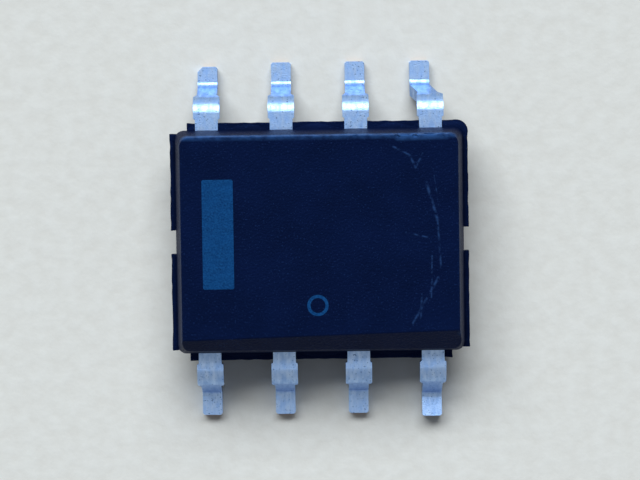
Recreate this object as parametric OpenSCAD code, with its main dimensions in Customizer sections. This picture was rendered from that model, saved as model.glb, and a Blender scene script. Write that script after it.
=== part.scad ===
// Small-outline integrated circuit with eight gull-wing leads.
// A stamped leadframe (leads, die paddle and tie bars) carries a silicon die, which gold wires join to
// the leads. Black resin is moulded round it all, and the leads are then trimmed and formed.
// +X runs along the rows of leads, +Y across them and +Z up. The origin is at the middle of the package
// on the seating plane, which is the plane of the lead soles. Lead 1 is at -X, -Y.

/* [Body] */
// Length of the body at the parting line, without the resin ledge
body_l = 4.9; // [4.8:0.05:5.1]
// Width of the body at the parting line, without the resin ledge
body_w = 3.8; // [3.7:0.05:3.9]
// Thickness of the body from its underside to its top
body_t = 1.45; // [1.35:0.05:1.55]
// Height of the underside above the board
standoff = 0.15; // [0.1:0.01:0.2]
// Slope of the moulded walls from upright, in degrees
draft = 10; // [6:1:12]
// Radius of the upright corners
corner_r = 0.15; // [0.08:0.01:0.25]
// Radius along the edges of the top and of the underside
edge_r = 0.06; // [0.03:0.01:0.1]
// Width, seen from above, of the bevel along the side of leads 1 to 4
bevel = 0.22; // [0.12:0.01:0.25]
// Angle of that bevel below level, in degrees
bevel_angle = 45; // [40:1:50]
// Slant of that bevel, seen from above, in degrees
bevel_slant = 1.5; // [0:0.25:2]

/* [Resin left at the parting line] */
// How far the resin between the leads stands out
side_ledge = 0.13; // [0.05:0.01:0.15]
// How far the resin stands out at the two ends
end_ledge = 0.09; // [0.04:0.01:0.12]
// Length along X over which the ledge's corners are missing
ledge_corner_l = 0.3; // [0.2:0.01:0.4]
// Width along Y over which the ledge's corners are missing
ledge_corner_w = 0.18; // [0.14:0.01:0.25]
// Radius of the one ledge corner that is whole, at lead 5
ledge_round = 0.2; // [0.1:0.01:0.25]
// Space between each side of a tie bar and the ledge beside it
notch_gap = 0.03; // [0.01:0.01:0.05]

/* [Ejector marks] */
// Diameter of the two round marks in the underside
ejector_d = 0.8; // [0.5:0.05:1]
// Depth of these marks
ejector_depth = 0.03; // [0.02:0.01:0.05]
// Distance between the two marks
ejector_pitch = 2.6; // [2:0.1:2.8]

/* [Leads] */
// Distance between neighbouring leads
pitch = 1.27; // [1.25:0.01:1.3]
// Distance over the tips of opposite leads
lead_span = 6.1; // [6:0.05:6.2]
// Thickness of the leadframe sheet
sheet_t = 0.2; // [0.17:0.01:0.23]
// Width of a lead where it leaves the body
root_w = 0.39; // [0.36:0.01:0.42]
// Width of a lead over what is left of the dam bar
dam_w = 0.45; // [0.43:0.01:0.5]
// Space between the resin ledge and the dam bar stub
dam_gap = 0.05; // [0.03:0.01:0.08]
// Width of the leg and foot
foot_w = 0.34; // [0.3:0.01:0.36]
// Length of the straight part of the foot
foot_l = 0.32; // [0.25:0.01:0.35]
// Angle of the leg below level, in degrees
leg_angle = 72; // [68:1:80]
// Bend radius at the middle of the sheet
bend_r = 0.2; // [0.15:0.01:0.22]
// Length over which the leg narrows below the shoulder
taper_l = 0.1; // [0.05:0.01:0.15]
// Chamfer on the corners of the tips
tip_chamfer = 0.03; // [0.01:0.01:0.05]

/* [Bent and worn leads] */
// How far the foot of lead 5 was pushed towards lead 6
side_shift = 0.15; // [0:0.01:0.18]
// How far lead 4 was sprung outwards, in degrees
spring_out = 7; // [0:1:9]
// How far the toe of lead 4 points up, in degrees
toe_up = 8; // [0:1:10]
// How much shorter the foot of lead 8 is
short_by = 0.06; // [0:0.01:0.1]
// Size of the nick in the tip of lead 8
nick = 0.09; // [0.02:0.01:0.12]

/* [Fingers inside the body] */
// Width of the fingers of the four middle leads
finger_w = 0.6; // [0.5:0.02:0.7]
// Width of the fingers of the four corner leads
corner_finger_w = 0.5; // [0.4:0.02:0.6]
// Length of the narrow neck inside the wall
neck_l = 0.16; // [0.12:0.01:0.2]
// Length over which a finger widens behind its neck
flare_l = 0.12; // [0.08:0.01:0.15]
// Gap between neighbouring metal pieces in the stamped sheet
metal_gap = 0.2; // [0.15:0.01:0.22]
// Diameter of the hole that locks each finger in the resin
lock_d = 0.2; // [0.15:0.01:0.25]

/* [Die paddle] */
// Length of the paddle along the rows of leads
paddle_l = 2.5; // [2.3:0.05:2.6]
// Width of the paddle
paddle_w = 2; // [1.8:0.05:2.1]
// Width of the two tie bars
tie_w = 0.34; // [0.3:0.01:0.4]
// How far the paddle lies below the leads
downset = 0.2; // [0.15:0.01:0.25]
// Level length of a tie bar beside the paddle
tie_foot = 0.15; // [0.1:0.01:0.2]
// Length over which a tie bar steps down
tie_slope = 0.3; // [0.2:0.01:0.35]

/* [Die and wires] */
// Length of the silicon die
die_l = 1.6; // [1.3:0.05:1.8]
// Width of the silicon die
die_w = 1.3; // [1.1:0.05:1.5]
// Thickness of the silicon die
die_t = 0.25; // [0.2:0.01:0.28]
// Thickness of the adhesive under the die
glue_t = 0.03; // [0.02:0.01:0.05]
// How far the adhesive shows round the die
glue_rim = 0.07; // [0.04:0.01:0.1]
// Distance from the edge of the die to its bond pads
pad_inset = 0.12; // [0.08:0.01:0.15]
// Distance from the tip of a finger to the foot of its wire
land_inset = 0.12; // [0.08:0.01:0.14]
// Diameter of a bond wire
wire_d = 0.03; // [0.025:0.005:0.05]
// Height of a wire's loop above the die
loop_h = 0.16; // [0.12:0.01:0.2]
// Diameter of the ball that joins a wire to the die
ball_d = 0.08; // [0.07:0.005:0.1]
// Thickness of that ball once it is pressed flat
ball_t = 0.02; // [0.015:0.005:0.03]

/* [Hidden] */
LEADS_PER_SIDE = 4;
LEANING = 5;                // lead pushed sideways
SPRUNG = 4;                 // lead sprung outwards
SHORT = 8;                  // lead with the short and nicked tip

half_t = sheet_t / 2;
lead_z = standoff + body_t / 2;
top_z = standoff + body_t;
reach = (lead_span - body_w) / 2;
leg_drop = lead_z - half_t - 2 * bend_r * (1 - cos(leg_angle));
leg_l = leg_drop / sin(leg_angle);
root_l = reach - 2 * bend_r * sin(leg_angle) - leg_l * cos(leg_angle) - foot_l;
dam_start = side_ledge + dam_gap;
outer_x = pitch * (LEADS_PER_SIDE - 1) / 2;
ledge_l = body_l + 2 * end_ledge;
ledge_w = body_w + 2 * side_ledge;
notch_w = tie_w + 2 * notch_gap;
paddle_z = lead_z + half_t - downset;
glue_z = paddle_z + glue_t;
die_z = glue_z + die_t;
finger_top = lead_z + half_t;

dam_slope = 0.02;           // length over which a root widens to its dam bar stub
corner_steps = 6;           // flats round each upright corner
edge_steps = 4;             // flats round each level edge
bend_steps = 8;             // flats round each bend of a lead
wire_sides = 8;
wire_steps = 12;
wire_exit = 50;             // steepness of a wire where it meets its finger, in degrees
loop_lift = 1.5;            // height of a wire's first handle over that of its loop
hang_share = 1 / 3;         // length of a wire's last handle over the wire's run
beyond = 1;                 // how far cutting shapes run past what they cut
$fn = 64;

// Place of lead n: 1 to 4 run along -Y towards +X, and 5 to 8 come back along +Y.
function on_front(n) = n <= LEADS_PER_SIDE;
function slot_of(n) = on_front(n) ? n - 1 : 2 * LEADS_PER_SIDE - n;
function lead_x(n) = slot_of(n) * pitch - outer_x;
function row_sign(n) = on_front(n) ? -1 : 1;
function is_corner(n) = slot_of(n) == 0 || slot_of(n) == LEADS_PER_SIDE - 1;
function end_sign(n) = slot_of(n) < LEADS_PER_SIDE / 2 ? -1 : 1;

// Closed skin over a list of level rings, each with the same number of points.
module skin(rings) {
    count = len(rings[0]);
    last = (len(rings) - 1) * count;
    walls = [
        for (r = [0 : len(rings) - 2])
            for (k = [0 : count - 1])
                let (a = r * count + k, b = r * count + (k + 1) % count)
                    [a, a + count, b + count, b]
    ];
    near_cap = [for (k = [0 : count - 1]) k];
    far_cap = [for (k = [count - 1 : -1 : 0]) last + k];
    polyhedron([for (ring = rings) each ring], concat([near_cap], walls, [far_cap]));
}

// Outline of the body drawn in by inset, as a ring of points at height z.
function body_ring(inset, z) = [
    for (corner = [0 : 3])
        for (step = [0 : corner_steps])
            let (
                turn = 90 * (corner + step / corner_steps),
                sx = corner == 0 || corner == 3 ? 1 : -1,
                sy = corner < 2 ? 1 : -1
            )
            [
                sx * (body_l / 2 - inset - corner_r) + corner_r * cos(turn),
                sy * (body_w / 2 - inset - corner_r) + corner_r * sin(turn),
                z
            ]
];

// Rings of one half of the body, from the leadframe to its face, which is half_h away.
function half_rings(half_h, up) =
    let (
        arc_h = half_h - edge_r,
        arc_inset = arc_h * tan(draft) + edge_r / cos(draft)
    )
    concat(
        [body_ring(0, lead_z + up * half_t)],
        [
            for (step = [0 : edge_steps])
                let (
                    turn = draft + (90 - draft) * step / edge_steps,
                    rise = half_t + arc_h + edge_r * sin(turn)
                )
                body_ring(arc_inset - edge_r * cos(turn), lead_z + up * rise)
        ]
    );

function reversed(list) = [for (k = [len(list) - 1 : -1 : 0]) list[k]];

module body_form() {
    half_h = body_t / 2 - half_t;
    skin(concat(reversed(half_rings(half_h, -1)), half_rings(half_h, 1)));
}

// Resin that filled the sheet's thickness out to the dam bars. Three of its corners broke away in
// trimming and the one at lead 5 is whole. At each end it is notched where a tie bar was cut off.
module ledge_outline() {
    broken = [
        [-ledge_corner_l, 0], [0, -ledge_corner_w], [beyond, -ledge_corner_w],
        [beyond, beyond], [-ledge_corner_l, beyond]
    ];
    difference() {
        square([ledge_l, ledge_w], center = true);
        for (corner = [[-1, -1], [1, -1], [-1, 1]])
            polygon([for (p = broken) [corner.x * (ledge_l / 2 + p.x), corner.y * (ledge_w / 2 + p.y)]]);
        translate([ledge_l / 2 - ledge_round, ledge_w / 2 - ledge_round])
            difference() {
                square(ledge_round + beyond);
                circle(ledge_round);
            }
        for (end = [-1, 1])
            translate([end * (body_l / 2 + beyond / 2), 0]) square([beyond, notch_w], center = true);
    }
}

// Slope along the side of leads 1 to 4, which tells that side from the other.
module bevel_cut() {
    wall_inset = (body_t / 2 - half_t) * tan(draft);
    size = 2 * body_l;
    translate([0, wall_inset + bevel - body_w / 2, top_z])
        rotate([0, 0, bevel_slant])
            rotate([bevel_angle, 0, 0])
                translate([-size / 2, -size / 2, 0]) cube(size);
}

// Round marks that the pins leave as they push the package out of the mould.
module ejector_marks() {
    for (side = [-1, 1])
        translate([side * ejector_pitch / 2, 0, standoff - beyond])
            cylinder(d = ejector_d, h = beyond + ejector_depth);
}

// The moulding: what the resin fills round the leadframe, the die and its wires.
module body() {
    color("#15171c") difference() {
        union() {
            body_form();
            translate([0, 0, lead_z - half_t]) linear_extrude(sheet_t) ledge_outline();
        }
        bevel_cut();
        ejector_marks();
        paddle();
        die_attach();
        die();
        for (n = [1 : 2 * LEADS_PER_SIDE]) {
            lead(n);
            wire(n);
        }
    }
}

// Section of a lead's strip where its middle is at distance x from the wall and height z above the
// lead plane, heading down by an angle. Its sides are at y = low and y = high.
function section(x, z, down, low, high) = [
    for (c = [[low, -half_t], [high, -half_t], [high, half_t], [low, half_t]])
        [x + c[1] * sin(down), c[0], z + c[1] * cos(down)]
];

// Sections of lead n outside the resin, from its root to the tip of its foot: a level root that widens
// at the stub of the dam bar, the shoulder bend, a narrower leg, the heel bend and the foot.
function strip(n) =
    let (
        angle = n == SPRUNG ? leg_angle - spring_out : leg_angle,
        rise = n == SPRUNG ? toe_up : 0,
        shift = n == LEANING ? side_shift : 0,
        length = n == SHORT ? foot_l - short_by : foot_l,
        cut = n == SHORT ? nick : tip_chamfer,
        knee = [root_l + bend_r * sin(angle), -bend_r * (1 - cos(angle))],
        along = [cos(angle), -sin(angle)],
        ankle = knee + leg_l * along,
        taper = knee + taper_l * along,
        lean = shift * taper_l / leg_l,
        sole = ankle + bend_r * [sin(angle) + sin(rise), cos(angle) - cos(rise)],
        tip_cuts = cut > tip_chamfer ? [cut, tip_chamfer, 0] : [tip_chamfer, 0]
    )
    concat(
        [
            section(-neck_l / 2, 0, 0, -root_w / 2, root_w / 2),
            section(dam_start, 0, 0, -root_w / 2, root_w / 2),
            section(dam_start + dam_slope, 0, 0, -dam_w / 2, dam_w / 2)
        ],
        [
            for (step = [0 : bend_steps])
                let (down = angle * step / bend_steps)
                section(root_l + bend_r * sin(down), bend_r * (cos(down) - 1), down, -dam_w / 2, dam_w / 2)
        ],
        [section(taper.x, taper.y, angle, lean - foot_w / 2, lean + foot_w / 2)],
        [
            for (step = [0 : bend_steps])
                let (
                    down = angle - (angle + rise) * step / bend_steps,
                    x = ankle.x + bend_r * (sin(angle) - sin(down)),
                    z = ankle.y + bend_r * (cos(angle) - cos(down))
                )
                section(x, z, down, shift - foot_w / 2, shift + foot_w / 2)
        ],
        [
            for (left = tip_cuts)
                section(
                    sole.x + (length - left) * cos(rise),
                    sole.y + (length - left) * sin(rise),
                    -rise,
                    shift - foot_w / 2 + max(0, tip_chamfer - left),
                    shift + foot_w / 2 - max(0, cut - left)
                )
        ]
    );

// Part of lead n inside the wall, which is at x = 0: a neck and a wider finger, locked by the resin
// that fills its hole. The fingers of the corner leads turn towards the ends of the paddle.
module finger(n) {
    toward_middle = on_front(n) ? -end_sign(n) : end_sign(n);
    inner = abs(lead_x(n)) - paddle_l / 2 - metal_gap;
    edges = is_corner(n) ? [inner - corner_finger_w, inner] : [-finger_w / 2, finger_w / 2];
    low = toward_middle > 0 ? edges[0] : -edges[1];
    high = toward_middle > 0 ? edges[1] : -edges[0];
    wide = neck_l + flare_l;
    tip = body_w / 2 - metal_gap - (is_corner(n) ? tie_w : paddle_w) / 2;
    translate([0, 0, -half_t])
        linear_extrude(sheet_t) difference() {
            polygon([
                [-tip, low], [-wide, low], [-neck_l, -root_w / 2], [0, -root_w / 2],
                [0, root_w / 2], [-neck_l, root_w / 2], [-wide, high], [-tip, high]
            ]);
            translate([-wide - lock_d / 2, (low + high) / 2]) circle(d = lock_d);
        }
}

// Lead n: one strip of plated copper alloy, from its finger in the resin to the tip of its foot.
module lead(n) {
    color("#c9ced6")
        translate([lead_x(n), row_sign(n) * body_w / 2, lead_z])
            rotate([0, 0, row_sign(n) * 90]) {
                finger(n);
                skin(strip(n));
            }
}

// Die paddle with its two tie bars, which step up to the level of the leads and end flush with the
// body, where they were cut from the leadframe's rails.
module paddle() {
    step_from = paddle_l / 2 + tie_foot;
    step_to = step_from + tie_slope;
    top = [
        [-body_l / 2, finger_top], [-step_to, finger_top], [-step_from, paddle_z],
        [step_from, paddle_z], [step_to, finger_top], [body_l / 2, finger_top]
    ];
    color("#b87a4b") {
        translate([0, 0, paddle_z - sheet_t])
            linear_extrude(sheet_t) square([paddle_l, paddle_w], center = true);
        rotate([90, 0, 0])
            linear_extrude(tie_w, center = true)
                polygon(concat(top, [for (p = reversed(top)) p - [0, sheet_t]]));
    }
}

// Adhesive squeezed out to a rounded rim all round the die.
module die_attach() {
    rim_l = die_l + 2 * glue_rim;
    rim_w = die_w + 2 * glue_rim;
    color("#8d8f93")
        translate([0, 0, paddle_z])
            linear_extrude(glue_t) {
                square([die_l, rim_w], center = true);
                square([rim_l, die_w], center = true);
                for (sx = [-1, 1], sy = [-1, 1])
                    translate([sx * die_l / 2, sy * die_w / 2]) circle(glue_rim);
            }
}

// The silicon die, sawn square.
module die() {
    color("#4a4f5c")
        translate([-die_l / 2, -die_w / 2, glue_z]) cube([die_l, die_w, die_t]);
}

// Bond pad on the die and landing on the finger, the two ends of wire n seen from above.
function pad_of(n) = [
    (slot_of(n) / (LEADS_PER_SIDE - 1) - 0.5) * (die_l - 2 * pad_inset),
    row_sign(n) * (die_w / 2 - pad_inset)
];
function landing_of(n) = is_corner(n)
    ? [
        end_sign(n) * (paddle_l / 2 + metal_gap + land_inset),
        row_sign(n) * (tie_w / 2 + metal_gap + land_inset)
    ]
    : [lead_x(n), row_sign(n) * (paddle_w / 2 + metal_gap + land_inset)];

function cubic(p, t) =
    pow(1 - t, 3) * p[0] + 3 * pow(1 - t, 2) * t * p[1] + 3 * (1 - t) * t * t * p[2] + pow(t, 3) * p[3];
function cubic_heading(p, t) =
    let (d = pow(1 - t, 2) * (p[1] - p[0]) + 2 * (1 - t) * t * (p[2] - p[1]) + t * t * (p[3] - p[2]))
    d / norm(d);

// Ring of a wire that runs along the level direction dir from start, at parameter t of its curve.
// The curve holds pairs of distance and height. The last ring lies flat on the finger.
function wire_ring(start, dir, curve, t) =
    let (at = cubic(curve, t), heading = cubic_heading(curve, t))
    [
        for (k = [0 : wire_sides - 1])
            let (
                turn = 360 * k / wire_sides,
                side = wire_d / 2 * cos(turn),
                up = wire_d / 2 * sin(turn),
                slide = t < 1 ? 0 : -up * heading.x / heading.y,
                along = at.x - up * heading.y + slide * heading.x
            )
            [
                start.x + dir.x * along - dir.y * side,
                start.y + dir.y * along + dir.x * side,
                at.y + up * heading.x + slide * heading.y
            ]
    ];

// Gold wire n: a ball pressed onto the die, a loop that leaves it upright and a foot on the finger.
// A cubic curve rises to about two thirds of its first handle, so loop_lift makes up for that.
module wire(n) {
    start = pad_of(n);
    run = norm(landing_of(n) - start);
    dir = (landing_of(n) - start) / run;
    foot_z = die_z + ball_t / 2;
    hang = run * hang_share;
    curve = [
        [0, foot_z], [0, foot_z + loop_lift * loop_h],
        [run - hang * cos(wire_exit), finger_top + hang * sin(wire_exit)], [run, finger_top]
    ];
    color("#d9a441") {
        translate([start.x, start.y, die_z]) cylinder(d = ball_d, h = ball_t);
        skin([for (step = [0 : wire_steps]) wire_ring(start, dir, curve, step / wire_steps)]);
    }
}

body();
paddle();
die_attach();
die();
lead(1);  // lead_1
lead(2);  // lead_2
lead(3);  // lead_3
lead(4);  // lead_4
lead(5);  // lead_5
lead(6);  // lead_6
lead(7);  // lead_7
lead(8);  // lead_8
wire(1);  // wire_1
wire(2);  // wire_2
wire(3);  // wire_3
wire(4);  // wire_4
wire(5);  // wire_5
wire(6);  // wire_6
wire(7);  // wire_7
wire(8);  // wire_8
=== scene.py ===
import math
import random

import bmesh
import bpy
from mathutils import Matrix, Vector


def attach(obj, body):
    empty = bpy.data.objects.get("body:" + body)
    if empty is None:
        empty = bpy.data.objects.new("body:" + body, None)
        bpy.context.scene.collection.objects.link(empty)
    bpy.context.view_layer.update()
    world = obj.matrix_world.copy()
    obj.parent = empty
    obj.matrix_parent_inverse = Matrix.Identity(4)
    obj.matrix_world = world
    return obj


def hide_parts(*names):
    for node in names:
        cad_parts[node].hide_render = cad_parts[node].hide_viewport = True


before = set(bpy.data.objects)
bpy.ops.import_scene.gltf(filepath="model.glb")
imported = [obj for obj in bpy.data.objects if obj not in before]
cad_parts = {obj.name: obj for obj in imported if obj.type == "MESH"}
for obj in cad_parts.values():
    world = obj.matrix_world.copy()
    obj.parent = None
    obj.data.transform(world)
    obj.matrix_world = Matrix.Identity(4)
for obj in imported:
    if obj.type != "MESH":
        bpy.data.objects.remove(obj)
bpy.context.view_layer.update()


# ---------------------------------------------------------------------------------------------------
# Die paddle and tie bars: the middle of the stamped leadframe, which carries the chip. It is rolled
# copper alloy 0.2 mm thick, sunk below the leads, and only the cut ends of its tie bars can be seen.

mm_per_m = 1000


def from_hex(code):
    """Linear colour, with alpha 1, of an sRGB hex value."""
    parts = [int(code[k:k + 2], 16) / 255 for k in (1, 3, 5)]
    return [p / 12.92 if p <= 0.04045 else ((p + 0.055) / 1.055) ** 2.4 for p in parts] + [1.0]


def add_node(tree, kind, sockets=None, **settings):
    """A node with its settings. A socket takes a value or the output that is linked to it."""
    made = tree.nodes.new(kind)
    for name, value in settings.items():
        setattr(made, name, value)
    for name, value in (sockets or {}).items():
        if isinstance(value, bpy.types.NodeSocket):
            tree.links.new(value, made.inputs[name])
        else:
            made.inputs[name].default_value = value
    return made


def start_material(name):
    """An empty material with its shader, and the place on the piece in millimetres."""
    made = bpy.data.materials.new(name)
    made.use_nodes = True
    tree = made.node_tree
    tree.nodes.clear()
    shader = add_node(tree, "ShaderNodeBsdfPrincipled")
    add_node(tree, "ShaderNodeOutputMaterial", {"Surface": shader.outputs["BSDF"]})
    place = add_node(tree, "ShaderNodeTexCoord")
    in_mm = add_node(tree, "ShaderNodeMapping", {
        "Vector": place.outputs["Object"], "Scale": (mm_per_m, mm_per_m, mm_per_m)})
    return made, tree, shader, in_mm.outputs["Vector"]


def speckle(tree, here, size_mm, detail=2.0, contrast=(0.3, 0.7), stretch=None):
    """Noise with grains of that size, from 0 to 1. stretch squeezes it along X, Y or Z."""
    if stretch:
        here = add_node(tree, "ShaderNodeMapping", {"Vector": here, "Scale": stretch}).outputs["Vector"]
    noise = add_node(tree, "ShaderNodeTexNoise", {"Vector": here, "Scale": 1 / size_mm, "Detail": detail})
    return add_node(tree, "ShaderNodeMapRange", {
        "Value": noise.outputs["Fac"], "From Min": contrast[0], "From Max": contrast[1]}).outputs["Result"]


def blend_colours(tree, factor, low, high):
    """Mixes two colours, each a hex value or an output."""
    low = from_hex(low) if isinstance(low, str) else low
    high = from_hex(high) if isinstance(high, str) else high
    mix = add_node(tree, "ShaderNodeMix", data_type="RGBA")
    for name, value in (("Factor", factor), ("A", low), ("B", high)):
        socket = next(s for s in mix.inputs if s.name == name and s.enabled)
        if isinstance(value, bpy.types.NodeSocket):
            tree.links.new(value, socket)
        else:
            socket.default_value = value
    return next(s for s in mix.outputs if s.enabled)


def ramp(tree, value, low, high):
    """A value from 0 to 1 turned to one from low to high."""
    return add_node(tree, "ShaderNodeMapRange", {
        "Value": value, "To Min": low, "To Max": high}).outputs["Result"]


def finish_shader(tree, shader, colour, roughness, height, depth_mm, **constants):
    """Links colour, roughness and relief, and sets the shader's constant sockets."""
    bump = add_node(tree, "ShaderNodeBump", {
        "Height": height, "Strength": 1.0, "Distance": depth_mm / mm_per_m})
    tree.links.new(colour, shader.inputs["Base Color"])
    tree.links.new(roughness, shader.inputs["Roughness"])
    tree.links.new(bump.outputs["Normal"], shader.inputs["Normal"])
    for name, value in constants.items():
        shader.inputs[name.replace("_", " ")].default_value = value


# Rolled copper alloy, bare where it was cut: long rolling lines along X and brown tarnish in patches.
copper, tree, shader, here = start_material("rolled_copper_alloy")
rolling = speckle(tree, here, 0.05, stretch=(0.15, 1, 1))
tarnish = speckle(tree, here, 0.18, detail=4.0)
finish_shader(
    tree, shader,
    blend_colours(tree, tarnish, "#a8714c", "#6d4a38"),
    ramp(tree, tarnish, 0.38, 0.6), rolling, 0.002, Metallic=1.0)


def paint(node, material):
    """Gives a CAD node its material."""
    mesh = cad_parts[node].data
    mesh.materials.clear()
    mesh.materials.append(material)


paint("paddle", copper)


# ---------------------------------------------------------------------------------------------------
# Die attach: a dot of epoxy filled with silver flake, squeezed out round the die and cured. It is
# grey, slightly sparkling and uneven.

adhesive, tree, shader, here = start_material("cured_silver_epoxy")
flakes = speckle(tree, here, 0.012, contrast=(0.4, 0.6))
finish_shader(
    tree, shader,
    blend_colours(tree, flakes, "#77797d", "#a7a9ad"),
    ramp(tree, flakes, 0.35, 0.7), flakes, 0.003, Metallic=0.4)
paint("die_attach", adhesive)


# ---------------------------------------------------------------------------------------------------
# Die: silicon with the circuit on its top, sawn from a polished wafer. Its blocks of circuitry show
# as slightly different greys, which follow straight lines.

silicon, tree, shader, here = start_material("sawn_polished_silicon")
blocks = add_node(tree, "ShaderNodeTexBrick", {
    "Vector": here, "Color1": from_hex("#4b5568"), "Color2": from_hex("#5f5a78"),
    "Mortar": from_hex("#2d323d"), "Scale": 1.0, "Mortar Size": 0.008,
    "Brick Width": 0.34, "Row Height": 0.21})
saw_lines = speckle(tree, here, 0.02, stretch=(1, 1, 0.1))
finish_shader(
    tree, shader, blocks.outputs["Color"],
    ramp(tree, saw_lines, 0.12, 0.3), saw_lines, 0.0005, IOR=3.4)
paint("die", silicon)


# ---------------------------------------------------------------------------------------------------
# Bond wires: drawn gold, 0.03 mm thick, each welded as a ball to the die and as a wedge to a finger
# of the leadframe. Drawing leaves them bright with very fine lines.

gold, tree, shader, here = start_material("drawn_gold")
drawn = speckle(tree, here, 0.01, stretch=(1, 0.2, 1))
finish_shader(
    tree, shader,
    blend_colours(tree, drawn, "#e0ac4a", "#f0c96c"),
    ramp(tree, drawn, 0.15, 0.28), drawn, 0.0005, Metallic=1.0)
for n in range(1, 9):
    paint(f"wire_{n}", gold)


# ---------------------------------------------------------------------------------------------------
# Leads: eight strips of the same stamped sheet, plated with matte tin, trimmed from the dam bar and
# pressed to a gull-wing shape. Their cut tips show bare copper. Lead 5 was pushed towards lead 6,
# lead 4 is sprung outwards with its toe up, and lead 8 has a short and nicked tip.

sheet_t, lead_z = 0.2, 0.875          # all sizes are in millimetres until a piece is settled
pitch, body_w = 1.27, 3.8
root_w, dam_w, foot_w = 0.39, 0.45, 0.34
dam_start, dam_slope = 0.18, 0.02
bend_r, leg_angle, taper_l = 0.2, math.radians(72), 0.1
foot_l, tip_chamfer, reach = 0.32, 0.03, 1.15
neck_l, flare_l, lock_d = 0.16, 0.12, 0.2
finger_w, corner_finger_w, metal_gap = 0.6, 0.5, 0.2
edge_round, tip_depth = 0.016, 0.02   # of the sheet's edges, and of the faces that count as the tip
pushed, spring_out, toe_up = 0.15, math.radians(7), math.radians(8)   # lead 5, then lead 4
short_by, nick = 0.06, 0.09           # lead 8
paddle_l, paddle_w, tie_w = 2.5, 2.0, 0.34
leg_drop = lead_z - sheet_t / 2 - 2 * bend_r * (1 - math.cos(leg_angle))
leg_l = leg_drop / math.sin(leg_angle)
root_l = reach - 2 * bend_r * math.sin(leg_angle) - leg_l * math.cos(leg_angle) - foot_l
bend_steps = 12


def slot_of(n):
    """Place of a lead along its row, 0 to 3 from -X."""
    return n - 1 if n <= 4 else 8 - n


def lead_x(n):
    return (slot_of(n) - 1.5) * pitch


def outer_stations(angle=leg_angle, rise=0.0, shift=0.0, length=foot_l, cut=tip_chamfer):
    """Sections of a strip outside the resin: distance from the wall, height, downward angle and the
    two sides. A strip lies along +Y here."""
    lean = shift * taper_l / leg_l
    knee = (root_l + bend_r * math.sin(angle), lead_z - bend_r * (1 - math.cos(angle)))
    ankle = (knee[0] + leg_l * math.cos(angle), knee[1] - leg_l * math.sin(angle))
    half_dam, half_foot = dam_w / 2, foot_w / 2
    yield dam_start + dam_slope, lead_z, 0.0, -half_dam, half_dam
    for step in range(bend_steps + 1):
        down = angle * step / bend_steps
        yield (root_l + bend_r * math.sin(down), lead_z - bend_r * (1 - math.cos(down)), down,
               -half_dam, half_dam)
    yield (knee[0] + taper_l * math.cos(angle), knee[1] - taper_l * math.sin(angle), angle,
           -lean - half_foot, -lean + half_foot)
    for step in range(bend_steps + 1):
        down = angle - (angle + rise) * step / bend_steps
        yield (ankle[0] + bend_r * (math.sin(angle) - math.sin(down)),
               ankle[1] + bend_r * (math.cos(angle) - math.cos(down)), down,
               -shift - half_foot, -shift + half_foot)
    sole = (ankle[0] + bend_r * (math.sin(angle) + math.sin(rise)),
            ankle[1] + bend_r * (math.cos(angle) - math.cos(rise)))
    for left in ([cut, tip_chamfer, 0.0] if cut > tip_chamfer else [tip_chamfer, 0.0]):
        yield (sole[0] + (length - left) * math.cos(rise), sole[1] + (length - left) * math.sin(rise),
               -rise, -shift - half_foot + max(0, cut - left),
               -shift + half_foot - max(0, tip_chamfer - left))


def inner_stations(n):
    """Sections of the finger of lead n inside the resin."""
    corner = slot_of(n) in (0, 3)
    inner = abs(lead_x(n)) - paddle_l / 2 - metal_gap
    sides = (inner - corner_finger_w, inner) if corner else (-finger_w / 2, finger_w / 2)
    to_middle = (1 if slot_of(n) < 2 else -1) * (1 if n > 4 else -1)
    low, high = sides if to_middle > 0 else (-sides[1], -sides[0])
    wide = neck_l + flare_l
    tip = body_w / 2 - metal_gap - (tie_w if corner else paddle_w) / 2
    yield -wide, lead_z, 0.0, low, high
    yield -tip, lead_z, 0.0, low, high


def add_fresh(add, **how):
    """Adds a primitive with nothing else selected."""
    bpy.ops.object.select_all(action="DESELECT")
    add(**how)
    return bpy.context.object


def choose_faces(piece, test):
    """In edit mode, selects only the faces for which the test holds."""
    bpy.ops.mesh.select_mode(type="FACE")
    bpy.ops.mesh.select_all(action="DESELECT")
    mesh = bmesh.from_edit_mesh(piece.data)
    for face in mesh.faces:
        if test(face):
            face.select_set(True)
    bmesh.update_edit_mesh(piece.data)


def draw_out(stations, y, z, down, low, high):
    """Extrudes the selected end face through the stations, turning and widening it at each."""
    for new_y, new_z, new_down, new_low, new_high in stations:
        bpy.ops.mesh.extrude_region_move(TRANSFORM_OT_translate={
            "value": ((new_low + new_high - low - high) / 2, new_y - y, new_z - z)})
        middle = ((new_low + new_high) / 2, new_y, new_z)
        if new_down != down:
            bpy.ops.transform.rotate(value=new_down - down, orient_axis="X", center_override=middle)
        if abs((new_high - new_low) - (high - low)) > 1e-9:
            bpy.ops.transform.resize(
                value=((new_high - new_low) / (high - low), 1, 1), center_override=middle)
        y, z, down, low, high = new_y, new_z, new_down, new_low, new_high


def pick(piece):
    """Selects one piece and nothing else."""
    bpy.ops.object.select_all(action="DESELECT")
    piece.select_set(True)
    bpy.context.view_layer.objects.active = piece


def apply_modifier(piece, kind, **settings):
    """Adds one modifier and applies it."""
    pick(piece)
    made = piece.modifiers.new(kind.lower(), kind)
    for name, value in settings.items():
        setattr(made, name, value)
    bpy.ops.object.modifier_apply(modifier=made.name)


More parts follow.
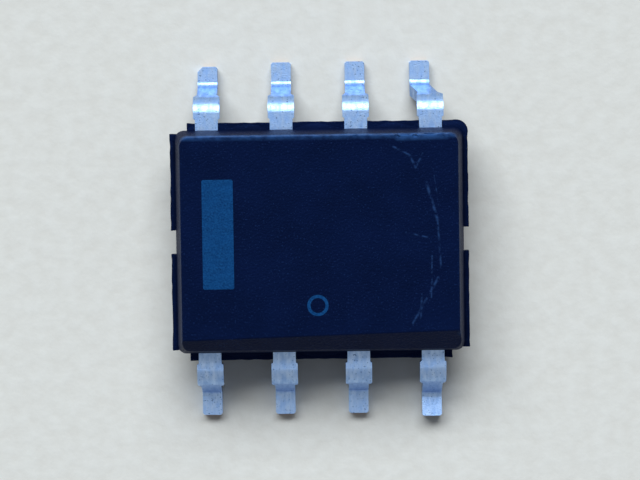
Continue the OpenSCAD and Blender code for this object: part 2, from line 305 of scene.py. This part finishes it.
def press_lead(n, **shape):
    """One lead, modelled along +Y with the wall at y = 0."""
    lead = add_fresh(
        bpy.ops.mesh.primitive_cube_add, size=1, location=(0, (dam_start - neck_l) / 2, lead_z),
        scale=(root_w, dam_start + neck_l, sheet_t))
    bpy.ops.object.transform_apply(location=True, rotation=False, scale=True)
    bpy.ops.object.mode_set(mode="EDIT")
    choose_faces(lead, lambda face: face.normal.y < -0.9)
    draw_out(inner_stations(n), -neck_l, lead_z, 0.0, -root_w / 2, root_w / 2)
    choose_faces(lead, lambda face: face.normal.y > 0.9 and face.calc_center_median().y > 0)
    draw_out(outer_stations(**shape), dam_start, lead_z, 0.0, -root_w / 2, root_w / 2)
    bpy.ops.mesh.select_all(action="SELECT")
    bpy.ops.mesh.normals_make_consistent(inside=False)
    bpy.ops.object.mode_set(mode="OBJECT")
    low, high = list(inner_stations(n))[0][3:]
    drill = add_fresh(
        bpy.ops.mesh.primitive_cylinder_add, vertices=32, radius=lock_d / 2, depth=3 * sheet_t,
        location=((low + high) / 2, -neck_l - flare_l - lock_d / 2, lead_z))
    apply_modifier(lead, "BOOLEAN", object=drill, operation="DIFFERENCE", solver="EXACT")
    bpy.data.objects.remove(drill)
    apply_modifier(lead, "BEVEL", width=edge_round, segments=3, limit_method="ANGLE",
                   angle_limit=math.radians(50))
    return lead


# Matte tin plate: pale blue-grey metal of fine crystals, dulled by handling. The real crystals are
# about 0.005 mm wide and are drawn at 0.02 mm to show. The shine is soft, with small dark specks.
tin, tree, shader, here = start_material("matte_tin_plate")
crystals = speckle(tree, here, 0.02, detail=3.0)
rubbed = speckle(tree, here, 0.07, detail=3.0, contrast=(0.35, 0.7), stretch=(1, 0.35, 0.35))
specks = speckle(tree, here, 0.03, detail=1.0, contrast=(0.66, 0.74))
plate = blend_colours(tree, rubbed, "#88a9d8", "#a6c2e8")
relief = add_node(tree, "ShaderNodeMath", {0: crystals, 1: rubbed}, operation="ADD").outputs[0]
finish_shader(
    tree, shader,
    blend_colours(tree, specks, plate, "#456391"),
    ramp(tree, rubbed, 0.5, 0.36), relief, 0.0015, Metallic=1.0)

# Sheared lead tip: bare copper alloy with tin smeared down over its upper part by the blade.
cut_tip, tree, shader, here = start_material("sheared_copper_with_smeared_tin")
height_in = add_node(tree, "ShaderNodeSeparateXYZ", {"Vector": here}).outputs["Z"]
tears = speckle(tree, here, 0.025, stretch=(1, 1, 0.25))
smear_z, smear_soft, smear_wave = 0.15, 0.03, 0.07
smear_edge = add_node(
    tree, "ShaderNodeMath", {0: tears, 1: smear_wave, 2: height_in}, operation="MULTIPLY_ADD")
smeared = add_node(tree, "ShaderNodeMapRange", {
    "Value": smear_edge.outputs[0], "From Min": smear_z,
    "From Max": smear_z + smear_soft}).outputs["Result"]
finish_shader(
    tree, shader,
    blend_colours(tree, smeared, blend_colours(tree, tears, "#96705c", "#70523f"), "#9fb9dc"),
    ramp(tree, tears, 0.3, 0.5), tears, 0.003, Metallic=1.0)


def settle(piece, name, smooth=35):
    """Names a piece, smooths its curved faces and turns its millimetres to metres. The flat faces
    stay flat because normals are weighted by area."""
    pick(piece)
    piece.name = piece.data.name = name
    bpy.ops.object.shade_smooth_by_angle(angle=math.radians(smooth))
    apply_modifier(piece, "WEIGHTED_NORMAL", keep_sharp=True, weight=100, thresh=0.0)
    piece.scale = (1 / mm_per_m, 1 / mm_per_m, 1 / mm_per_m)
    bpy.ops.object.transform_apply(location=False, rotation=False, scale=True)


def fit_lead(lead, n):
    """Puts a pressed lead in its place in the row, and gives it its plating and bare tip."""
    turned = Matrix.Rotation(0 if n > 4 else math.pi, 4, "Z")
    lead.data.transform(Matrix.Translation((lead_x(n), (1 if n > 4 else -1) * body_w / 2, 0)) @ turned)
    lead.data.materials.clear()
    lead.data.materials.append(tin)
    lead.data.materials.append(cut_tip)
    end = max(abs(v.co.y) for v in lead.data.vertices)
    for face in lead.data.polygons:
        at_end = abs(face.center.y) > end - tip_depth and abs(face.normal.y) > 0.95
        face.material_index = 1 if at_end and face.center.y * face.normal.y > 0 else 0
    settle(lead, f"formed_lead_{n}")
    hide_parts(f"lead_{n}")
    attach(lead, "root")


middle = press_lead(2)
for n in (3, 6, 7):
    pick(middle)
    bpy.ops.object.duplicate(linked=False)
    fit_lead(bpy.context.object, n)
fit_lead(middle, 2)
fit_lead(press_lead(1), 1)
fit_lead(press_lead(4, angle=leg_angle - spring_out, rise=toe_up), 4)
fit_lead(press_lead(5, shift=pushed), 5)
fit_lead(press_lead(8, length=foot_l - short_by, cut=nick), 8)


# ---------------------------------------------------------------------------------------------------
# Body: black epoxy moulding compound, filled with silica and moulded round the leadframe. It drafts
# 10 degrees from the parting line, has a bevel along leads 1 to 4, and keeps a ledge of resin as
# thick as the sheet where the dam bar and tie bars held it.

body_l, top_z, standoff = 4.9, 1.6, 0.15
draft, corner_r, edge_r = math.radians(10), 0.15, 0.06
side_ledge, end_ledge = 0.13, 0.09
bevel, bevel_angle, bevel_slant = 0.22, math.pi / 4, math.radians(1.5)
half_h = top_z - lead_z - sheet_t / 2
wall_inset = half_h * math.tan(draft)

body = add_fresh(
    bpy.ops.mesh.primitive_cube_add, size=1, location=(0, 0, lead_z), scale=(body_l, body_w, sheet_t))
bpy.ops.object.transform_apply(location=True, rotation=False, scale=True)
bpy.ops.object.mode_set(mode="EDIT")
for way in (1, -1):
    choose_faces(body, lambda face: face.normal.z * way > 0.9)
    bpy.ops.mesh.extrude_region_move(TRANSFORM_OT_translate={"value": (0, 0, way * half_h)})
    bpy.ops.transform.resize(
        value=(1 - 2 * wall_inset / body_l, 1 - 2 * wall_inset / body_w, 1),
        center_override=(0, 0, lead_z + way * half_h))


def choose_edges(piece, test):
    """In edit mode, selects only the edges for which the test holds."""
    bpy.ops.mesh.select_mode(type="EDGE")
    bpy.ops.mesh.select_all(action="DESELECT")
    mesh = bmesh.from_edit_mesh(piece.data)
    for edge in mesh.edges:
        if test(edge):
            edge.select_set(True)
    bmesh.update_edit_mesh(piece.data)


choose_edges(body, lambda edge: abs(edge.verts[0].co.z - edge.verts[1].co.z) > sheet_t / 2)
bpy.ops.mesh.bevel(offset=corner_r, segments=8, clamp_overlap=False)
bpy.ops.mesh.select_all(action="SELECT")
slope = Matrix.Rotation(bevel_slant, 4, "Z") @ Vector((0, -math.sin(bevel_angle), math.cos(bevel_angle)))
bpy.ops.mesh.bisect(
    plane_co=(0, wall_inset + bevel - body_w / 2, top_z), plane_no=slope,
    use_fill=True, clear_outer=True, threshold=1e-6)
bpy.ops.object.mode_set(mode="OBJECT")
apply_modifier(body, "BEVEL", width=edge_r, segments=5, limit_method="ANGLE",
               angle_limit=math.radians(28))

# The ledge's outline is drawn by extruding one vertex round it. Its outer edges broke from the dam
# bar, so they run slightly ragged, and three of its corners are missing.
ledge_x, ledge_y = body_l / 2 + end_ledge, body_w / 2 + side_ledge
missing_x, missing_y, notch, round_r, round_steps = 0.3, 0.18, 0.20, 0.2, 8
inside, ledge_round = 0.3, 0.012      # how far the ledge runs into the body, and its edges' rounding
tear_l, tear_d = 0.11, 0.012          # length and greatest depth of one ragged stretch
corners = []
for sx, sy in ((1, 1), (-1, 1), (-1, -1), (1, -1)):
    if (sx, sy) == (1, 1):
        bend = [(ledge_x - round_r * (1 - math.cos(a)), ledge_y - round_r * (1 - math.sin(a)))
                for a in (math.pi / 2 * k / round_steps for k in range(round_steps + 1))]
    else:
        bend = [(ledge_x, ledge_y - missing_y), (ledge_x - missing_x, ledge_y - missing_y),
                (ledge_x - missing_x, ledge_y)]
    end = [(body_l / 2 - inside, notch), (ledge_x, notch)]
    quarter = [(sx * x, sy * y) for x, y in end + bend]
    corners += quarter if sx * sy > 0 else quarter[::-1]

ragged = random.Random(5)
route = []
for k, (x, y) in enumerate(corners):
    nx, ny = corners[(k + 1) % len(corners)]
    length = math.hypot(nx - x, ny - y)
    parts = max(1, round(length / tear_l))
    for step in range(parts):
        px, py = x + (nx - x) * step / parts, y + (ny - y) * step / parts
        worn = 0.0 if step == 0 else ragged.uniform(-tear_d, 0.0)
        route.append((px + worn * (ny - y) / length, py - worn * (nx - x) / length))

ledge = add_fresh(bpy.ops.mesh.primitive_plane_add, size=1, location=(0, 0, 0))
bpy.ops.object.mode_set(mode="EDIT")
bpy.ops.mesh.merge(type="CENTER")
bpy.ops.mesh.select_mode(type="VERT")
bpy.ops.mesh.select_all(action="SELECT")
bpy.ops.transform.translate(value=(*route[0], lead_z - sheet_t / 2))
for (x, y), (nx, ny) in zip(route, route[1:]):
    bpy.ops.mesh.extrude_region_move(TRANSFORM_OT_translate={"value": (nx - x, ny - y, 0)})
bpy.ops.mesh.select_all(action="SELECT")
bpy.ops.mesh.edge_face_add()
bpy.ops.mesh.extrude_region_move(TRANSFORM_OT_translate={"value": (0, 0, sheet_t)})
bpy.ops.mesh.select_all(action="SELECT")
bpy.ops.mesh.normals_make_consistent(inside=False)
bpy.ops.object.mode_set(mode="OBJECT")
apply_modifier(ledge, "BEVEL", width=ledge_round, segments=2, limit_method="ANGLE",
               angle_limit=math.radians(60))
apply_modifier(body, "BOOLEAN", object=ledge, operation="UNION", solver="EXACT")
bpy.data.objects.remove(ledge)

# Chips along the edge over leads 5 to 7, where something scraped the top, and one at the ledge.
chip_longest, chip_w, chip_h, chip_rough = 1.6, 0.8, 0.7, 0.2   # shares of a chip's size
broken = random.Random(11)
for x, y, z, size in (
        (1.32, 1.76, 1.58, 0.05), (1.46, 1.79, 1.55, 0.07), (1.62, 1.77, 1.59, 0.05),
        (1.86, 1.80, 1.54, 0.08), (2.05, 1.79, 1.56, 0.07), (2.24, 1.78, 1.56, 0.06),
        (0.62, 1.79, 1.57, 0.045), (-1.12, 1.80, 1.565, 0.05), (2.55, 1.72, 0.98, 0.06)):
    chip = add_fresh(
        bpy.ops.mesh.primitive_ico_sphere_add, subdivisions=1, radius=size, location=(x, y, z),
        scale=(broken.uniform(1.0, chip_longest), chip_w, chip_h))
    bpy.ops.object.transform_apply(location=True, rotation=True, scale=True)
    bpy.ops.object.mode_set(mode="EDIT")
    bpy.ops.mesh.select_all(action="SELECT")
    bpy.ops.transform.vertex_random(offset=size * chip_rough, uniform=1.0, seed=broken.randrange(1000))
    bpy.ops.object.mode_set(mode="OBJECT")
    apply_modifier(body, "BOOLEAN", object=chip, operation="DIFFERENCE", solver="EXACT")
    bpy.data.objects.remove(chip)

# Marks of the ejector pins in the underside, and the shallow pockets that the laser burnt.
ejector_d, ejector_depth, ejector_pitch, ejector_l = 0.8, 0.03, 2.6, 0.2
pocket, cutter_h = 0.008, 0.1
bar_x, bar_y, bar_w, bar_l, bar_r = -1.715, 0.155, 0.53, 1.85, 0.04
ring_x, ring_y, ring_r, ring_w = -0.05, -1.06, 0.18, 0.055


def carve(cutter):
    """Cuts one shape from the body and throws it away."""
    apply_modifier(body, "BOOLEAN", object=cutter, operation="DIFFERENCE", solver="EXACT")
    bpy.data.objects.remove(cutter)


for way in (-1, 1):
    carve(add_fresh(
        bpy.ops.mesh.primitive_cylinder_add, vertices=64, radius=ejector_d / 2, depth=ejector_l,
        location=(way * ejector_pitch / 2, 0, standoff + ejector_depth - ejector_l / 2)))


def laser_bar():
    """The bar that marks the pin 1 end, as a block with rounded corners whose base is the pocket's."""
    block = add_fresh(
        bpy.ops.mesh.primitive_cube_add, size=1,
        location=(bar_x, bar_y, top_z - pocket + cutter_h / 2), scale=(bar_w, bar_l, cutter_h))
    bpy.ops.object.transform_apply(location=True, rotation=False, scale=True)
    bpy.ops.object.mode_set(mode="EDIT")
    choose_edges(block, lambda edge: abs(edge.verts[0].co.z - edge.verts[1].co.z) > cutter_h / 2)
    bpy.ops.mesh.bevel(offset=bar_r, segments=5)
    bpy.ops.object.mode_set(mode="OBJECT")
    return block


def laser_ring(depth):
    """The small ring, as a tube whose base is the pocket's."""
    tube = add_fresh(
        bpy.ops.mesh.primitive_circle_add, vertices=72, radius=ring_r, fill_type="NGON",
        location=(ring_x, ring_y, top_z - pocket))
    bpy.ops.object.transform_apply(location=True, rotation=False, scale=False)
    bpy.ops.object.mode_set(mode="EDIT")
    bpy.ops.mesh.select_all(action="SELECT")
    bpy.ops.mesh.inset(thickness=ring_w)
    bpy.ops.mesh.delete(type="FACE")
    bpy.ops.mesh.select_all(action="SELECT")
    bpy.ops.mesh.extrude_region_move(TRANSFORM_OT_translate={"value": (0, 0, depth)})
    bpy.ops.mesh.select_all(action="SELECT")
    bpy.ops.mesh.normals_make_consistent(inside=False)
    bpy.ops.object.mode_set(mode="OBJECT")
    return tube


carve(laser_bar())
carve(laser_ring(cutter_h))

# The resin closes round the leadframe and the die, so each leaves its own hollow. The hair-thin
# wires are left lying in the resin.
seam, weld, sliver = 1e-4, 4e-4, 2e-4
for name in [f"formed_lead_{n}" for n in range(1, 9)] + ["paddle", "die_attach", "die"]:
    source = bpy.data.objects[name] if name in bpy.data.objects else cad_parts[name]
    core = source.copy()
    core.data = source.data.copy()
    core.parent = None
    core.data.materials.clear()
    bpy.context.scene.collection.objects.link(core)
    core.data.transform(Matrix.Scale(mm_per_m, 4))
    pick(core)
    bpy.ops.object.mode_set(mode="EDIT")
    bpy.ops.mesh.select_all(action="SELECT")
    bpy.ops.mesh.remove_doubles(threshold=seam)
    bpy.ops.object.mode_set(mode="OBJECT")
    carve(core)

# Moulded epoxy with silica filler: nearly black with a blue cast, satin, and finely grained by the
# eroded mould. The real grain is about 0.01 mm and is drawn at 0.035 mm to show. Faint blue-grey
# streaks are left by a pick-up nozzle and by handling.
resin, tree, shader, here = start_material("moulded_silica_filled_epoxy")
grain = speckle(tree, here, 0.035, detail=3.0)
clouds = speckle(tree, here, 0.6, detail=4.0)
filler = speckle(tree, here, 0.028, detail=0.0, contrast=(0.7, 0.76))


def calc(tree, operation, *values, clamp=False):
    """One Math node."""
    return add_node(tree, "ShaderNodeMath", dict(enumerate(values)), operation=operation,
                    use_clamp=clamp).outputs[0]


def vector_calc(tree, operation, **values):
    """One Vector Math node, whose sockets are named a, b and scale."""
    made = add_node(tree, "ShaderNodeVectorMath", operation=operation)
    for name, value in values.items():
        socket = made.inputs["Scale"] if name == "scale" else made.inputs["ab".index(name)]
        if isinstance(value, bpy.types.NodeSocket):
            tree.links.new(value, socket)
        else:
            socket.default_value = value
    return made.outputs["Value" if operation in ("DOT_PRODUCT", "LENGTH") else "Vector"]


def streak(tree, here, start, end, width):
    """1 on a straight streak, fading to 0 at its edges. It lies on the top unless a height is given."""
    run = Vector(end) - Vector(start[:2])
    along = (*(run / run.length_squared), 0.0)
    off = vector_calc(tree, "SUBTRACT", a=here, b=(*start, top_z)[:3])
    share = calc(tree, "MULTIPLY", vector_calc(tree, "DOT_PRODUCT", a=off, b=along), 1.0, clamp=True)
    foot = vector_calc(tree, "SCALE", a=(*run, 0.0), scale=share)
    gap = vector_calc(tree, "LENGTH", a=vector_calc(tree, "SUBTRACT", a=off, b=foot))
    return add_node(tree, "ShaderNodeMapRange", {
        "Value": gap, "From Min": width / 2, "From Max": 0.0}).outputs["Result"]


scuffs = None
for start, end, width in (
        ((1.52, 1.45), (1.62, 1.24), 0.06), ((1.74, 1.47), (1.62, 1.24), 0.05),
        ((1.80, 0.98), (1.98, 0.35), 0.07), ((1.98, 0.35), (2.03, -0.45), 0.05),
        ((1.88, -0.25), (1.86, -0.95), 0.04), ((1.98, -0.62), (1.55, -1.38), 0.06),
        ((1.70, -0.90), (1.68, -1.30), 0.05), ((1.45, 0.15), (1.86, 0.05), 0.04),
        ((1.20, 1.62), (1.52, 1.45), 0.05), ((1.93, 1.10), (2.00, 0.60), 0.03)):
    line = streak(tree, here, start, end, width)
    scuffs = line if scuffs is None else calc(tree, "MAXIMUM", scuffs, line)
broken_up = speckle(tree, here, 0.09, detail=3.0, contrast=(0.4, 0.62))
scuffs = calc(tree, "MULTIPLY", scuffs, broken_up)

# The edge along leads 5 to 8 faces the lamp, and its shine is painted on as a pale band (painted
# highlight), slightly wider over lead 5, where the edge is also worn. The ends' top edges get a faint
# painted highlight.
edge_sheen_and_wear = None
for start, end, width, strength in (
        ((-2.30, 1.83, 1.54), (2.28, 1.83), 0.26, 0.9), ((1.35, 1.79, 1.57), (2.15, 1.81), 0.24, 0.9),
        ((2.37, -1.55, 1.52), (2.37, 1.65), 0.2, 0.2), ((-2.38, -1.60, 1.52), (-2.38, 1.65), 0.2, 0.16)):
    line = calc(tree, "MULTIPLY", streak(tree, here, start, end, width), strength)
    edge_sheen_and_wear = line if edge_sheen_and_wear is None else calc(tree, "MAXIMUM", edge_sheen_and_wear, line)
patchy = ramp(tree, speckle(tree, here, 0.12, detail=4.0, contrast=(0.35, 0.6)), 0.55, 1.5)
edge_sheen_and_wear = calc(tree, "MULTIPLY", edge_sheen_and_wear, patchy, clamp=True)

black = blend_colours(tree, clouds, "#040c25", "#06112f")
black = blend_colours(tree, filler, black, "#0f1f40")
# Painted highlight along the lamp-side edge and the ends, with real wear near lead 5, mixed in as pale
# blue.
black = blend_colours(tree, edge_sheen_and_wear, black, "#2f5488")
relief = calc(tree, "ADD", grain, calc(tree, "MULTIPLY", scuffs, 0.5))
finish_shader(
    tree, shader,
    blend_colours(tree, calc(tree, "MULTIPLY", scuffs, 0.6), black, "#2c4a78"),
    ramp(tree, grain, 0.5, 0.66), relief, 0.004,
    Specular_IOR_Level=0.16, Specular_Tint=from_hex("#5f8cff"))

body.data.materials.clear()
body.data.materials.append(resin)
bpy.ops.object.mode_set(mode="EDIT")
bpy.ops.mesh.select_all(action="SELECT")
bpy.ops.mesh.remove_doubles(threshold=weld)
bpy.ops.mesh.dissolve_degenerate(threshold=sliver)
bpy.ops.mesh.select_all(action="SELECT")
bpy.ops.mesh.fill_holes(sides=8)
bpy.ops.object.mode_set(mode="OBJECT")
apply_modifier(body, "TRIANGULATE", quad_method="BEAUTY", ngon_method="BEAUTY")
settle(body, "moulded_body", smooth=32)
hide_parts("body")
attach(body, "root")


# ---------------------------------------------------------------------------------------------------
# Laser marks: the bar at the pin 1 end and a small ring, burnt into the top. The beam foams the resin
# to a dull blue and leaves its lines of travel, 0.04 mm apart. The rows of lettering are left bare.

burnt, tree, shader, here = start_material("laser_burnt_epoxy")
foam = speckle(tree, here, 0.03, detail=3.0)
patches = speckle(tree, here, 0.2, detail=3.0)
finish_shader(
    tree, shader,
    blend_colours(tree, foam, blend_colours(tree, patches, "#0b3a6a", "#082d56"), "#164a7b"),
    ramp(tree, foam, 0.7, 0.9), foam, 0.004,
    Specular_IOR_Level=0.2, Specular_Tint=from_hex("#5f8cff"))

scan, ridge = 0.04, 0.0003
mark_drop, foam_t, mark_gap = 0.003, 0.003, 0.002
mark_w, mark_l = bar_w - 2 * mark_gap, bar_l - 2 * mark_gap
rows = int(bar_l / scan) * 2
bar = add_fresh(
    bpy.ops.mesh.primitive_grid_add, x_subdivisions=10, y_subdivisions=rows, size=1,
    location=(bar_x, bar_y, top_z - mark_drop))
bpy.ops.transform.resize(value=(mark_w, mark_l, 1))
bpy.ops.object.transform_apply(location=True, rotation=False, scale=True)
pitch_y = mark_l / rows
for vertex in bar.data.vertices:
    line = round((vertex.co.y - bar_y) / pitch_y)
    vertex.co.z += ridge if line % 2 else -ridge
apply_modifier(bar, "SOLIDIFY", thickness=foam_t, offset=-1.0)
bar.data.materials.append(burnt)
settle(bar, "laser_bar", smooth=60)
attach(bar, "root")

ring = laser_ring(pocket - mark_gap)
ring.data.materials.append(burnt)
settle(ring, "laser_ring")
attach(ring, "root")


# ---------------------------------------------------------------------------------------------------
# Floor and light: matte pale card under one large soft lamp, which stands behind the chip like a
# window. The room adds a faint even fill, and shows pale to the camera and in what shines.

card, tree, shader, here = start_material("matte_card")
fibres = speckle(tree, here, 0.25, detail=3.0)
finish_shader(
    tree, shader,
    blend_colours(tree, fibres, "#e3ddd2", "#e9e4da"),
    ramp(tree, fibres, 0.85, 0.95), fibres, 0.004, Specular_IOR_Level=0.2)

card_w = 1.2                          # in metres, like all that follows
floor = add_fresh(bpy.ops.mesh.primitive_plane_add, size=card_w, location=(0, 0, 0))
floor.name = "floor"
floor.data.materials.append(card)

key_data = bpy.data.lights.new("window_light", "AREA")
key_data.shape, key_data.size, key_data.size_y = "RECTANGLE", 1.9, 0.95
key_data.energy, key_data.color = 48.0, (0.82, 0.91, 1.0)
key = bpy.data.objects.new("window_light", key_data)
bpy.context.scene.collection.objects.link(key)
key.location = (-0.2, 1.2, 1.36)
key.rotation_euler = (-key.location).to_track_quat("-Z", "Y").to_euler()

world = bpy.data.worlds.new("soft_room")
bpy.context.scene.world = world
world.use_nodes = True
sky = world.node_tree
sky.nodes.clear()
path = add_node(sky, "ShaderNodeLightPath")
seen = calc(sky, "MAXIMUM", path.outputs["Is Camera Ray"], path.outputs["Is Transmission Ray"])
seen = calc(sky, "MAXIMUM", seen, path.outputs["Is Glossy Ray"])
lit = add_node(sky, "ShaderNodeBackground", {"Color": from_hex("#e4efff"), "Strength": 0.15})
shown = add_node(sky, "ShaderNodeBackground", {"Color": from_hex("#eceae6"), "Strength": 0.65})
mixed = add_node(sky, "ShaderNodeMixShader", {0: seen, 1: lit.outputs[0], 2: shown.outputs[0]})
add_node(sky, "ShaderNodeOutputWorld", {"Surface": mixed.outputs[0]})


# ---------------------------------------------------------------------------------------------------
# Camera: 45 mm above the chip, looking straight down but for a few degrees, and turned slightly. Its
# long lens takes in a strip 11 mm wide, and the chip fills about half of that.

tilt, roll, distance = math.radians(3), math.radians(-0.8), 0.045
lens = bpy.data.cameras.new("camera")
lens.lens, lens.sensor_width = 148.0, 36.0
lens.clip_start, lens.clip_end = 0.001, 10.0
camera = bpy.data.objects.new("camera", lens)
bpy.context.scene.collection.objects.link(camera)
aim = Vector((0.0, 0.0, 0.0008))
camera.location = aim + distance * Vector((0, math.sin(tilt), math.cos(tilt)))
camera.rotation_euler = (Matrix.Rotation(-tilt, 3, "X") @ Matrix.Rotation(roll, 3, "Z")).to_euler()
bpy.context.scene.camera = camera
bpy.context.scene.view_settings.view_transform = "Standard"
